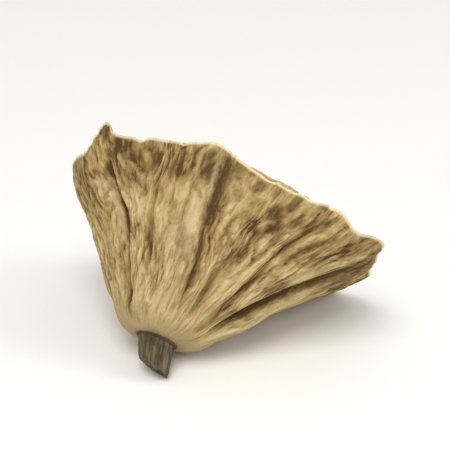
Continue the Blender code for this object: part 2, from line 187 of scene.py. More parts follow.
# The floor, the lamps (name, azimuth, elevation, distance, size, energy) and the camera.
FLOOR_HALF, FLOOR_DROP = 12.0, 0.00005
TARGET = (0.0, 0.0, 0.030)
LAMPS = (("key", 192, 54, 0.9, 0.5, 5.6), ("side", 276, 28, 1.0, 0.5, 3.0))
LAMP_COLOUR = (1.0, 0.98, 0.945)
WORLD_STRENGTH = 0.58
CAMERA_AZIMUTH, CAMERA_ELEVATION, CAMERA_DISTANCE = 206, 26, 0.70
LENS, SENSOR_WIDTH = 222.0, 36.0


def smooth(share):
    """An ease from 0 to 1, flat at both ends."""
    share = np.clip(share, 0.0, 1.0)
    return share * share * (3.0 - 2.0 * share)


def polar(away, angle):
    """The x and y of points this far from the middle."""
    return away * np.cos(angle), away * np.sin(angle)


def onset(value, begins, over):
    """An ease from 0, where the value passes begins, to 1, this much further on."""
    return smooth((value - begins) / over)


def through(points, at, period=None):
    """Reads a smooth curve through (position, value) points, which is closed if it has a period."""
    x, y = np.array(points, float).T
    if period:
        x = np.concatenate([x[-3:] - period, x, x[:3] + period])
        y = np.concatenate([y[-3:], y, y[:3]])
    slope = np.gradient(y, x)
    i = np.clip(np.searchsorted(x, at, side="right") - 1, 0, len(x) - 2)
    step = x[i + 1] - x[i]
    t = (at - x[i]) / step
    start = (1 + 2 * t) * (1 - t) ** 2 * y[i] + t * (1 - t) ** 2 * step * slope[i]
    return start + t * t * (3 - 2 * t) * y[i + 1] + t * t * (t - 1) * step * slope[i + 1]


def between(lattice, i, next_i, j, next_j, s, t):
    """Values between four points of a lattice, s of the way along i and t along j."""
    low = lattice[i, j] * (1 - s) + lattice[next_i, j] * s
    high = lattice[i, next_j] * (1 - s) + lattice[next_i, next_j] * s
    return low * (1 - t) + high * t


def ripple(turn, up, count, rows, seed):
    """Smooth noise from -1 to 1 over the wall, with count swells round it and rows along it."""
    lattice = np.random.default_rng(seed).uniform(-1, 1, (count, rows + 1))
    across = np.mod(turn, 1.0) * count
    along = np.clip(up, 0.0, 1.0) * rows
    i = np.floor(across).astype(int) % count
    j = np.minimum(np.floor(along).astype(int), rows - 1)
    s, t = smooth(across - np.floor(across)), smooth(along - j)
    return between(lattice, i, (i + 1) % count, j, j + 1, s, t)


def grain(x, y, size, seed):
    """Smooth noise from -1 to 1 over a plane, with swells of this size."""
    lattice = np.random.default_rng(seed).uniform(-1, 1, (256, 256))
    x, y = x / size + 97.3, y / size + 61.7
    i, j = np.floor(x).astype(int), np.floor(y).astype(int)
    s, t = smooth(x - i), smooth(y - j)
    return between(lattice, i % 256, (i + 1) % 256, j % 256, (j + 1) % 256, s, t)


def flare(up):
    """Mean radius of the wall."""
    return RIM_RADIUS * through(FLARE, up)


def rim_out(angle):
    """How far the rim stands out of its mean circle."""
    table = [(degrees, out) for degrees, out, _ in RIM]
    return through(table, np.mod(np.degrees(angle), 360.0), 360.0)


def rim_up(angle):
    """Height of the rim above the wall's foot."""
    table = [(degrees, up) for degrees, _, up in RIM]
    turn = np.asarray(angle) / math.tau
    notches = NOTCH_RISE * ripple(turn, np.ones_like(turn), NOTCHES, 1, NOTCH_SEED)
    return WALL_HEIGHT + through(table, np.mod(np.degrees(angle), 360.0), 360.0) + notches


def crease_angle(crease, up):
    """Where the middle line of a crease is at one height."""
    heights, degrees = zip(*crease[2])
    return math.radians(float(np.interp(up, heights, degrees)))


def column_angles(up, at):
    """Angles of the columns at one height, for places counted in the solid's columns."""
    columns, angles = [], []
    spacing = math.tau / COLUMNS
    for crease in CREASES:
        middle = round(COLUMNS * crease_angle(crease, 0.70) / math.tau)
        width = min(crease[1] / float(flare(up)), CREASE_CROWDING * spacing)
        for offset, apart in CREASE_COLUMNS:
            columns.append(middle + offset)
            angles.append(crease_angle(crease, up) + apart * width)
    columns = np.array([columns[-1] - COLUMNS, *columns, columns[0] + COLUMNS], float)
    angles = np.array([angles[-1] - math.tau, *angles, angles[0] + math.tau])
    return np.interp(at, columns, angles)


def crease_relief(angle, up):
    """Outward relief of the deep creases, and how near their middle lines a point is, from 0 to 1."""
    relief, line = np.zeros_like(angle), np.zeros_like(angle)
    for crease in CREASES:
        deep, half_width, path = crease
        start, end = path[0][0], path[-1][0]
        share = (up - start) / (end - start)
        if not 0.0 <= share <= 1.0:
            continue
        if end < 1.0:
            ending = smooth((1.0 - share) / CREASE_END)
        else:
            ending = 1.0 - RIM_SHALLOWING * onset(up, RIM_SHALLOWS_FROM, RIM_SHALLOWS_OVER)
        sunk = deep * smooth(share / CREASE_END) * ending
        apart = np.mod(angle - crease_angle(crease, up) + math.pi, math.tau) - math.pi
        distance = np.abs(apart) * flare(up) / half_width
        relief -= sunk * np.exp(-(distance**CREASE_SHARPNESS))
        relief += SHOULDER * sunk * np.exp(-((distance - SHOULDER_AWAY) ** 2) / SHOULDER_SPREAD)
        strength = (sunk / LINE_DEPTH) ** LINE_POWER
        line = np.maximum(line, strength * np.exp(-((distance / LINE_WIDTH) ** 2)))
    return relief, line


def weave(turn, up, count, rows, seed):
    """Sharper noise than ripple, from about -1 to 1, with no rows or columns to be seen in it."""
    ways = np.random.default_rng(seed).uniform(0.0, math.tau, (count, rows + 2))
    across = np.mod(turn, 1.0) * count
    along = np.clip(up, 0.0, 1.0) * rows
    i, j = np.floor(across).astype(int) % count, np.floor(along).astype(int)
    s, t = across - np.floor(across), along - j

    def corner(right, above):
        """What one corner of the cell gives."""
        way = ways[(i + right) % count, j + above]
        return np.cos(way) * (s - right) + np.sin(way) * (t - above)

    low = corner(0, 0) * (1 - smooth(s)) + corner(1, 0) * smooth(s)
    high = corner(0, 1) * (1 - smooth(s)) + corner(1, 1) * smooth(s)
    return 1.5 * (low * (1 - smooth(t)) + high * smooth(t))


def valleys(turn, up, count, rows, seed, sharp):
    """Narrow valleys between rounded ridges: 1 at the bottom of a valley, near 0 on a ridge."""
    return np.exp(-sharp * np.abs(weave(turn, up, count, rows, seed)))


def bend(turn, up):
    """The wrinkles' own coordinates on the wall, which wander round it and along it."""
    bent = turn
    for far, count, rows, seed in WANDER_ROUND:
        bent = bent + far * weave(turn, up, count, rows, seed)
    far, count, rows, seed = WANDER_ALONG
    along = np.clip(up + far * weave(turn, up, count, rows, seed), 0.0, 1.0)
    return bent, along


def spots(turn, up, places):
    """How near each point is to the places, from 0 to their strengths."""
    near = np.zeros_like(turn)
    angle = np.interp(np.mod(turn, 1.0) * COLUMNS, np.arange(COLUMNS + 1), ANGLES)
    for degrees, height, wide, tall, strength in places:
        apart = np.mod(np.degrees(angle) - degrees + 180.0, 360.0) - 180.0
        near = np.maximum(near, strength * np.exp(-((apart / wide) ** 2) - ((up - height) / tall) ** 2))
    return near


# Smooth places on the wall: degrees, height, half width in degrees, half height, strength.
SMOOTH_SPOTS = (
    (107, 0.57, 6.0, 0.13, 0.9), (100, 0.17, 12.0, 0.09, 0.6), (150, 0.62, 6.0, 0.10, 0.5),
    (40, 0.55, 8.0, 0.12, 0.5), (232, 0.60, 8.0, 0.12, 0.8), (290, 0.45, 9.0, 0.12, 0.8),
    (350, 0.55, 8.0, 0.15, 0.8),
)


def wrinkles(turn, up):
    """Fine relief of the wall, in metres, and how deep in a wrinkle each point is, from 0 to 1, which is
    painted as shade.

    The ridges run from the stub to the rim, bend a little and split on the way.
    """
    full = np.full_like(turn, up)
    bent, along = bend(turn, full)
    rough = 1.0 - 0.75 * spots(turn, full, SMOOTH_SPOTS)
    rough = rough * (0.55 + 0.65 * onset(weave(turn, full, *PATCHES), -0.45, 0.8))
    relief, groove = np.zeros_like(turn), np.zeros_like(turn)
    for count, rows, seed, sharp, deep, mean, dark, begins, over in WRINKLES:
        valley = valleys(bent, along, count, rows, seed, sharp) * onset(up, begins, over)
        relief -= deep * (valley - mean)
        groove += dark * valley**2
    relief = relief * rough * smooth(up / 0.025) * (0.42 + 0.58 * smooth(up / 0.15))
    groove = np.clip(groove * rough, 0.0, 1.1) * onset(up, 0.01, 0.06)
    return relief, groove


def wall_relief(angle, turn, up):
    """Outward relief of the wall at one height, the crease lines on it and its wrinkles."""
    full = np.full_like(angle, up)
    lobes = LOBE_RISE * ripple(angle / math.tau, full, LOBES, LOBE_ROWS, LOBE_SEED)
    ribs = RIB_RISE * ripple(turn, full, RIBS, RIB_ROWS, RIB_SEED)
    below_rim = onset(up, RIM_FADE_FROM, 1.0 - RIM_FADE_FROM)
    body = smooth(up / FOOT_FADE) * (1.0 - RIM_FADE * below_rim)
    creases, line = crease_relief(angle, up)
    fine, groove = wrinkles(turn, up)
    calm = 1.0 - 0.45 * line
    fine = fine * (1.0 - 0.35 * onset(up, 0.96, 0.04)) * calm
    return (lobes + ribs) * body + creases + fine, line, groove * calm


def rim_fin(turn, up):
    """How far the thin ragged rim stands above the solid's, on the wall just below it too."""
    rise, count, seed = RIM_RAGS
    ragged = rise * ripple(turn, np.ones_like(turn), count, 1, seed)
    return (RIM_FIN + ragged) * onset(up, RIM_FIN_FROM, 1.0 - RIM_FIN_FROM)


def face_up(angle, share):
    """Height of the face above the wall's foot, at a share of the rim's radius."""
    around = [rim_up(angle + math.radians(turn)) for turn in WAVE_TURNS]
    waves = sum(around) / len(around)
    level = WALL_HEIGHT - FACE_SINK - FACE_SLOPE * RIM_RADIUS * share * np.cos(angle)
    follow = smooth(share / WAVE_SHARE)
    edge = onset(share, EDGE_SHARE, 1.0 - EDGE_SHARE)
    inner = level * (1.0 - follow) + waves * follow + FACE_DOME * (1.0 - share**4)
    bead = 0.5 * BEAD_RISE * np.exp(-(((share - BEAD_SHARE) / BEAD_WIDTH) ** 2))
    return inner * (1.0 - edge) + rim_up(angle) * edge + bead


class Skin:
    """Points of the skin with what the material reads at each, and its faces."""

    # The hollows' mark and the crease mark are painted shade; the stain mark holds stains and painted shade;
    # the lip mark holds pale colour and painted highlights.
    NAMES = ("cavity", "crease", "stain", "collar", "stub", "inside", "lip", "face")

    def __init__(self):
        self.points, self.flow, self.faces = [], [], []
        self.marks = {name: [] for name in self.NAMES}
        self.count = 0

    def add(self, points, flow, **marks):
        """Adds points and returns their numbers. A mark that isn't given is 0."""
        first = self.count
        self.count += len(points)
        self.points.append(points)
        self.flow.append(flow)
        for name in self.NAMES:
            self.marks[name].append(np.broadcast_to(np.asarray(marks.get(name, 0.0), float), len(points)))
        return np.arange(first, self.count)

    def grow(self, last, points, flow, down=False, **marks):
        """Adds a ring and joins it to the last: over the face and into a cup, or down the stub."""
        ring = self.add(points, flow, **marks)
        self.bridge(*((ring, last) if down else (last, ring)))
        return ring

    def bridge(self, low, high):
        """Faces between two closed rings that run the same way. The high one may have twice the points."""
        n = len(low)
        after = np.roll(np.arange(n), -1)
        if len(high) == n:
            self.faces += zip(low, low[after], high[after], high)
            return
        even, odd, then = high[0::2], high[1::2], np.roll(high[0::2], -1)
        self.faces += zip(low, odd, even)
        self.faces += zip(low, low[after], odd)
        self.faces += zip(low[after], then, odd)


def blurred(grid, rows, columns):
    """The grid averaged over this many rows and columns each way. Its columns go round and close."""
    for axis, reach in ((0, rows), (1, columns)):
        weights = np.exp(-np.linspace(-2, 2, 2 * reach + 1) ** 2)
        weights /= weights.sum()
        total = np.zeros_like(grid)
        for step, weight in zip(range(-reach, reach + 1), weights):
            if axis:
                total += weight * np.roll(grid, step, axis=1)
            else:
                rows_at = np.clip(np.arange(len(grid)) + step, 0, len(grid) - 1)
                total += weight * grid[rows_at]
        grid = total
    return grid


def wall_ups():
    """Heights of the wall's rows, from the rim to the foot, evenly spaced along its slope."""
    fine = np.linspace(1.0, FOOT_UP, 4000)
    radius, height = flare(fine), WALL_HEIGHT * fine
    along = np.concatenate([[0.0], np.cumsum(np.hypot(np.diff(radius), np.diff(height)))])
    steps = np.linspace(0.0, along[-1], int(along[-1] / ROW_STEP) + 1)
    ups = np.interp(steps, along, fine)
    return np.concatenate([RIM_ROWS, ups[2:]])


def stains_and_shade(angle, turn, up):
    """Where the wall is dark, from 0 to 1: stains in hatches below the rim, in blots and along folds; painted
    shade along creases, in one broad blot and partly in a band below the rim.
    """
    full = np.full_like(angle, up)
    bent, along = bend(turn, full)
    below_edge = 1.0 - onset(up, 0.984, 0.008)
    hatches = onset(weave(bent, along, 185, 9, 41), -0.02, 0.32) * onset(up, 0.78, 0.09)
    hatches *= below_edge
    hatches *= 0.30 + 0.70 * onset(weave(turn, full, 22, 3, 42), -0.25, 0.6)
    marks = 0.42 * onset(weave(bent, along, 74, 5, 43), 0.22, 0.35) * onset(up, 0.12, 0.2)
    ragged = 0.80 + 0.55 * weave(bent, along, 110, 22, 44)
    stain = smooth(spots(turn, full, BLOTS) * ragged * 1.35)
    stain = np.maximum(stain, strokes(angle, turn, up, STROKES) * (0.85 + 0.3 * ragged))
    # A broad band below the rim, partly its own darker colour and partly painted shade.
    shade = 0.28 * onset(up, 0.64, 0.22) * below_edge
    return np.clip(np.maximum(np.maximum(0.85 * hatches, marks), stain) + shade, 0.0, 1.0)


def strokes(angle, turn, up, table):
    """How near each point is to the strokes, from 0 to their strengths."""
    near = np.zeros_like(angle)
    waver = 0.5 * weave(turn, np.full_like(turn, up), 90, 18, 46)
    for strength, half_width, path in table:
        heights, degrees = zip(*path)
        ends = float(onset(up, heights[0], 0.05) * smooth((heights[-1] - up) / 0.04))
        middle = math.radians(float(np.interp(up, heights, degrees)))
        apart = np.mod(angle - middle + math.pi, math.tau) - math.pi
        away = apart * flare(up) / half_width + waver
        near = np.maximum(near, strength * ends * np.exp(-(away**2)))
    return near


# Painted highlights on the wall, beside folds and on a bump: strength, half width, and the path as heights
# and degrees.
LIGHT_STROKES = (
    (0.60, 0.0007, ((0.40, 55.5), (0.62, 55.5), (0.72, 51), (0.84, 46))),
    (0.40, 0.0010, ((0.16, 192), (0.45, 200), (0.66, 205))),
    (0.40, 0.0008, ((0.55, 108.0), (0.80, 108.0), (0.96, 108.0))),
    (0.40, 0.0032, ((0.40, 106), (0.60, 105), (0.76, 103))),
    (0.30, 0.0007, ((0.20, 236), (0.50, 231), (0.90, 233))),
    (0.30, 0.0007, ((0.20, 308), (0.50, 307), (0.90, 310))),
)
# Dark strokes on the wall, in the same way: brown stains, and painted shade along the creases that many of
# them follow.
STROKES = (
    (0.85, 0.0016, ((0.60, 113.5), (0.80, 112.5), (0.99, 112))),
    (0.40, 0.0018, ((0.26, 121), (0.45, 118), (0.66, 114))),
    (0.60, 0.0008, ((0.10, 119), (0.20, 120), (0.34, 122))),
    (0.60, 0.0006, ((0.52, 118), (0.76, 118))),
    (0.90, 0.0012, ((0.78, 105), (0.985, 105.5))),
    (0.85, 0.0006, ((0.86, 66), (0.975, 66))),
    (0.85, 0.0005, ((0.87, 75), (0.98, 75.5))),
    (0.80, 0.0006, ((0.84, 85), (0.97, 85.5))),
    (0.70, 0.0008, ((0.76, 92), (0.93, 92))),
    (0.80, 0.0005, ((0.82, 99), (0.97, 99.5))),
    (0.85, 0.0007, ((0.88, 125), (0.98, 125.5))),
    (0.60, 0.0006, ((0.62, 150), (0.80, 153), (0.95, 154))),
    (0.65, 0.0006, ((0.68, 168), (0.85, 170), (0.97, 172))),
    (0.60, 0.0009, ((0.50, 44), (0.72, 40), (0.90, 36))),
    (1.00, 0.0013, ((0.20, 60), (0.50, 61), (0.62, 61), (0.72, 56), (0.84, 51))),
    (0.55, 0.0010, ((0.02, 66), (0.12, 62), (0.25, 60))),
    (0.55, 0.0020, ((0.15, 63), (0.40, 65), (0.64, 66))),
    (0.60, 0.0006, ((0.30, 83), (0.62, 85))),
    (0.65, 0.0005, ((0.03, 92), (0.15, 90))),
    (0.75, 0.0018, ((0.24, 180), (0.60, 189), (0.98, 194))),
    (0.75, 0.0026, ((0.64, 188), (0.80, 191), (0.985, 193))),
    (0.60, 0.0009, ((0.06, 158), (0.20, 163), (0.34, 166))),
    (0.50, 0.0007, ((0.40, 142), (0.58, 145), (0.78, 146))),
    (0.60, 0.0008, ((0.35, 156), (0.60, 158), (0.90, 162))),
    (0.90, 0.0010, ((0.15, 214), (0.50, 212), (0.84, 216))),
    (0.90, 0.0010, ((0.10, 242), (0.50, 236), (0.90, 238))),
    (0.80, 0.0014, ((0.50, 262), (0.97, 259))),
    (0.85, 0.0010, ((0.15, 276), (0.60, 272), (0.97, 270))),
    (0.90, 0.0009, ((0.10, 298), (0.50, 302), (0.88, 305))),
    (0.70, 0.0014, ((0.60, 320), (0.98, 317))),
    (0.85, 0.0010, ((0.22, 338), (0.60, 336), (0.99, 332))),
    (0.85, 0.0010, ((0.10, 20), (0.45, 17), (0.80, 12))),
    (0.60, 0.0012, ((0.60, 36), (0.95, 38))),
)
# Blots on the wall, stains but for the broad one at 50 degrees, which is painted shade: degrees, height, half
# width in degrees, half height, strength.
BLOTS = (
    (136, 0.85, 3.5, 0.050, 1.0), (140, 0.79, 3.5, 0.045, 0.9), (131, 0.74, 3.0, 0.050, 0.8),
    (136, 0.60, 4.0, 0.060, 0.7), (125, 0.95, 1.8, 0.030, 0.9), (128, 0.48, 5.0, 0.070, 0.25),
    (50, 0.58, 13.0, 0.240, 0.38), (172, 0.86, 4.0, 0.050, 0.6), (199, 0.84, 8.0, 0.130, 1.0),
    (118, 0.44, 5.0, 0.120, 0.25), (215, 0.80, 5.0, 0.070, 0.7), (258, 0.70, 6.0, 0.120, 0.6),
    (300, 0.82, 4.0, 0.100, 0.8), (335, 0.75, 5.0, 0.090, 0.7), (12, 0.70, 4.0, 0.120, 0.6),
)
# Angles of the solid's columns well up the wall, where spots are placed by degrees.
ANGLES = column_angles(0.7, np.arange(COLUMNS + 1.0))


def stub_ring(angle, down):
    """One ring of the stub, upright, at a share of the way from its root to its cut."""
    turn = angle / math.tau
    full = np.full_like(angle, down)
    radius = STUB_RADIUS * (1.0 + STUB_OVAL * np.cos(2.0 * angle) + STUB_FLUTES * np.sin(5.0 * angle))
    radius = radius * (1.0 - STUB_TAPER * smooth(down))
    radius = radius - STUB_GROOVE_DEPTH * (valleys(turn, full, *STUB_GROOVES) - 0.4)
    radius = radius + 0.00007 * ripple(turn, full, 50, 6, 52)
    x = radius * np.cos(angle) + STUB_LEAN[0] * down**STUB_BEND
    y = radius * np.sin(angle) + STUB_LEAN[1] * down**STUB_BEND
    z = (STUB_LENGTH + STUB_ROOT) * (1.0 - down) + STUB_SLANT * x * down
    return np.column_stack([x, y, z])


def flow_round(angle, radius, along):
    """Where points are in the streaks' own space: round a ring of this radius, this far along."""
    return np.column_stack([*polar(radius, angle), np.full(len(angle), along)])


def flow_flat(x, y):
    """Where points of the face are in the streaks' own space."""
    return np.column_stack([x, y, np.full(len(x), 0.1)])


def wall_hollow_shade(relief, line, groove):
    """Painted shade of the wall's hollows: how far a point lies below those near it, its creases and
    wrinkles, and less of it on ridges.
    """
    hollow = np.zeros_like(relief)
    for rows, columns, full in HOLLOWS:
        hollow += (blurred(relief, rows, columns) - relief) / full
    return 0.45 * np.clip(hollow, -1.0, 1.2) + groove + 0.9 * line - 0.3


def add_wall(skin, at):
    """The wall from the rim to the foot, and the stub below it. Returns the rim's ring of points."""
    ups = wall_ups()
    turn = at / COLUMNS
    points, relief, line, groove, angles, stain = [], [], [], [], [], []
    for up in ups:
        angle = column_angles(up, at)
        bump, crease, wrinkle = wall_relief(angle, turn, up)
        out = flare(up) + rim_out(angle) * up**OUT_POWER + bump
        x, y = polar(out, angle)
        z = up * rim_up(angle) + rim_fin(turn, up) + STUB_LENGTH
        points.append(np.column_stack([x + FACE_OFFSET[0] * up, y + FACE_OFFSET[1] * up, z]))
        relief.append(bump)
        line.append(crease)
        groove.append(wrinkle)
        angles.append(angle)
        stain.append(stains_and_shade(angle, turn, up))
    cavity = wall_hollow_shade(np.array(relief), np.array(line), np.array(groove))
    slope = np.concatenate([[0.0], np.cumsum(np.linalg.norm(np.diff(points, axis=0), axis=2).mean(axis=1))])
    rings = []
    for i, up in enumerate(ups):
        step = 1 if float(flare(up)) > NARROW_BELOW else 2
        # Painted highlights beside the folds, kept in the lip mark with the rim's light edge.
        light = strokes(angles[i], turn, up, LIGHT_STROKES) * (1.0 - np.maximum(stain[i], line[i]))
        collar = np.full(FINE, float(smooth((COLLAR_TOP - up) / COLLAR_FADE)))
        marks = {
            "cavity": cavity[i] * (1.0 - 0.6 * collar),
            "stain": stain[i],
            "lip": np.maximum(float(onset(up, RIM_LIGHT_FROM, RIM_LIGHT_OVER)), light),
            # The crease's middle line, painted as shade.
            "crease": line[i],
            "collar": collar,
        }
        marks = {name: values[::step] for name, values in marks.items()}
        rings.append(skin.add(points[i][::step], flow_round(angles[i], 0.030, slope[i])[::step], **marks))
    for upper, lower in zip(rings, rings[1:]):
        skin.bridge(lower, upper)
    add_stub(skin, column_angles(0.0, at[::4]), points[-1][::4], slope[-1], rings[-1])
    return rings[0]


def add_stub(skin, angle, foot, slope, last):
    """The stub from the wall's foot to its cut. It meets the foot in a rounded corner."""
    start = stub_ring(angle, STUB_TOP)
    corner = np.column_stack([start[:, :2], foot[:, 2] - 0.0001])
    for t in (0.3, 0.55, 0.8):
        points = (1 - t) ** 2 * foot + 2 * t * (1 - t) * corner + t * t * start
        flow = flow_round(angle, 0.03, slope + 0.0012 * t)
        # Painted shade in the rounded corner where the stub meets the wall.
        dark = 0.9 * math.exp(-((t - 0.6) / 0.2) ** 2)
        marks = {"collar": 1.0 - t, "stub": onset(t, 0.35, 0.3), "cavity": dark}
        last = skin.grow(last, points, flow, down=True, **marks)
    for down in np.linspace(STUB_TOP, 1.0, STUB_ROWS):
        points = stub_ring(angle, down)
        worn = 0.06 * float(onset(down, 0.90, 0.10)) ** 2
        points += worn * (points.mean(axis=0) - points)
        flow = flow_round(angle, 0.012, slope + 0.002 + 0.01 * down)
        # Painted shade in the stub's grooves, less towards the cut's edge.
        edge = 0.5 * float(onset(down, 0.95, 0.05))
        groove = valleys(angle / math.tau, np.full_like(angle, down), *STUB_GROOVES) - 0.3
        last = skin.grow(last, points, flow, down=True, stub=1.0, cavity=groove - edge)
    add_cut(skin, points, slope + 0.02, last)


def add_cut(skin, rim, slope, last):
    """The slanting cut of the stem, which is a little hollow and has the stem's air canals."""
    middle = rim.mean(axis=0)
    for share in CUT_RINGS:
        points = middle + (rim - middle) * share
        x, y = (points[:, :2] - middle[:2]).T
        pits = canals(x, y)
        hollow = CUT_HOLLOW * smooth((1.0 - share) / 0.3)
        points[:, 2] += CANAL_DEPTH * pits + hollow + 0.00008 * grain(x, y, 0.0005, 53)
        flow = np.column_stack([x + 0.03, y, np.full(len(x), slope)])
        # The canals are painted dark as shade.
        last = skin.grow(last, points, flow, down=True, stub=1.0, cavity=-0.35 + 1.6 * pits)
    centre = skin.add(middle[None] + [[0, 0, 0.0004]], np.array([[0.03, 0, slope]]), stub=1.0, cavity=-0.2)
    skin.faces += [(a, centre[0], b) for a, b in zip(last, np.roll(last, -1))]


# Air canals in the cut of the stem: place and radius.
CANALS = (
    (0.0016, 0.0012, 0.00085), (-0.0017, 0.0010, 0.00080), (0.0015, -0.0014, 0.00075),
    (-0.0014, -0.0015, 0.00085), (0.0001, 0.0026, 0.00050), (0.0002, -0.0028, 0.00045),
    (0.0030, -0.0001, 0.00050), (-0.0030, -0.0002, 0.00045),
)


def canals(x, y):
    """How deep the canals are at points of the cut, from 0 to 1."""
    depth = np.zeros_like(x)
    for cx, cy, radius in CANALS:
        depth = np.maximum(depth, smooth((radius - np.hypot(x - cx, y - cy)) / (0.6 * radius) + 0.5))
    return depth


def socket_places():
    """Middles of the sockets' mouths, as (x, y) from the face's middle."""
    draw = np.random.default_rng(SOCKET_SEED)
    places = []
    for ring, count, first in SOCKET_RINGS:
        for n in range(count):
            angle = math.radians(first + 360.0 * n / count)
            away = ring * (RIM_RADIUS + float(rim_out(angle)))
            stray = draw.uniform(-1, 1, 2) * SOCKET_STRAY
            places.append(np.array([away * math.cos(angle), away * math.sin(angle)]) + stray)
    return places


def mouth_radii(number, places, angle):
    """Radii of a socket's mouth in these directions."""
    place = places[number]
    way = np.column_stack([np.cos(angle), np.sin(angle)])
    total = np.full(len(angle), SOCKET_WIDEST**-SOCKET_ROUNDING)
    for i, other in enumerate(places):
        if i == number:
            continue
        apart = other - place
        distance = float(np.hypot(*apart))
        facing = np.clip(way @ apart / distance, 0.0, None)
        total += (facing / (distance / 2.0 - SOCKET_SEPTUM / 2.0)) ** SOCKET_ROUNDING
    toward = float(np.hypot(*place))
    if toward > RIM_RADIUS / 2.0:
        facing = np.clip(way @ place / toward, 0.0, None)
        rim = RIM_RADIUS + float(rim_out(math.atan2(place[1], place[0])))
        total += (facing / (rim - SOCKET_MARGIN - toward)) ** SOCKET_ROUNDING
    half = np.full_like(angle, 0.5)
    uneven = np.zeros_like(angle)
    for far, count, seed in MOUTH_UNEVEN:
        uneven += far * ripple(angle / math.tau, half, count, 1, seed + number)
    return total ** (-1.0 / SOCKET_ROUNDING) + uneven


def margin_fold(angle, share):
    """How deep in one of the margin's folds each point is, from 0 to 1."""
    return valleys(angle / math.tau, share, *MARGIN_FOLDS)


class Face:
    """The seed face: where its points lie, and the places and mouths of its sockets."""

    def __init__(self, at):
        self.places = socket_places()
        self.rim_angles = column_angles(1.0, at)
        self.rim_relief = wall_relief(self.rim_angles, at / COLUMNS, 1.0)[0]
        self.rim_fin = rim_fin(at / COLUMNS, 1.0)
        self.around = np.linspace(0.0, math.tau, 181)[:-1]
        self.radii = [mouth_radii(i, self.places, self.around) for i in range(len(self.places))]

    def at_rim(self, values, angle):
        """Values given round the rim, read by angle."""
        turned = np.mod(self.rim_angles, math.tau)
        order = np.argsort(turned)
        return np.interp(np.mod(angle, math.tau), turned[order], values[order], period=math.tau)

    def mouth(self, number, angle):
        """Radius of a mouth, read by angle."""
        return np.interp(np.mod(angle, math.tau), self.around, self.radii[number], period=math.tau)

    def round_mouth(self, number, sides, out):
        """Places round a mouth, this far out from its edge, from the face's middle."""
        x, y = polar(mouth_radii(number, self.places, sides) + out, sides)
        return self.places[number][0] + x, self.places[number][1] + y

    def gaps(self, x, y):
        """Distances from points to the nearest two mouths' edges."""
        away = []
        for number, place in enumerate(self.places):
            dx, dy = x - place[0], y - place[1]
            away.append(np.hypot(dx, dy) - self.mouth(number, np.arctan2(dy, dx)))
        away = np.sort(away, axis=0)
        return away[0], away[1]

    def at(self, x, y, rise=0.0):
        """The skin's points over (x, y) from the face's middle, upright, raised by rise."""
        angle, away = np.arctan2(y, x), np.hypot(x, y)
        share = away / (RIM_RADIUS + rim_out(angle))
        outer = onset(share, RELIEF_SHARE, 1.0 - RELIEF_SHARE)
        away = away + self.at_rim(self.rim_relief, angle) * outer
        nearest, second = self.gaps(x, y)
        channel = CHANNEL_DEPTH * onset(nearest, 0.0009, 0.0010) * smooth((0.0045 - second) / 0.0020)
        in_margin = onset(share, MARGIN_FROM, MARGIN_OVER)
        folds = MARGIN_FOLD_DEPTH * (margin_fold(angle, share) - 0.3) * in_margin
        bumps = 0.00020 * grain(x, y, 0.0019, 71) + 0.00010 * grain(x, y, 0.0009, 72) - folds
        up = face_up(angle, share) - channel + bumps * (1.0 - onset(share, 0.98, 0.02)) + rise
        up = up + self.at_rim(self.rim_fin, angle) * onset(share, RIM_FIN_FROM, 1.0 - RIM_FIN_FROM)
        x, y = polar(away, angle)
        return np.column_stack([x + FACE_OFFSET[0], y + FACE_OFFSET[1], up + STUB_LENGTH])


def add_face(skin, rim, at):
    """The seed face: a band inside the rim, the ground between the sockets, and the sockets."""
    face = Face(at)
    edge, edge_xy = add_band(skin, face, rim, at)
    sides = np.linspace(0.0, math.tau, MOUTH_SIDES + 1)[:-1]
    feet_xy = [np.column_stack(face.round_mouth(i, sides, LIP_FOOT)) for i in range(len(face.places))]
    feet = add_ground(skin, face, edge, np.concatenate([edge_xy, *feet_xy, fill_points(face)]))
    for number, foot in enumerate(feet):
        lip = add_lip(skin, face, number, sides, foot)
        add_cup(skin, face, number, sides, lip)


def add_band(skin, face, rim, at):
    """Rings of the face next to the rim. Returns the last, and its places from the face's middle."""
    angle = face.rim_angles
    last = rim
    for share in BAND:
        full = np.full(FINE, share)
        x, y = polar(share * (RIM_RADIUS + rim_out(angle)), angle)
        lip = 0.9 * float(onset(share, 0.975, 0.02))
        stain = 0.45 * onset(ripple(at / COLUMNS, full, 110, 2, 73), 0.1, 0.5)
        # Painted shade in the margin's folds, varied at random.
        cavity = 0.8 * margin_fold(angle, full) - 0.2 - 0.25 * grain(x, y, 0.0016, 71)
        marks = {"face": 1.0, "lip": lip, "cavity": cavity, "stain": stain * (1.0 - lip)}
        last = skin.grow(last, face.at(x, y), flow_flat(x, y), **marks)
    return last, np.column_stack([x, y])


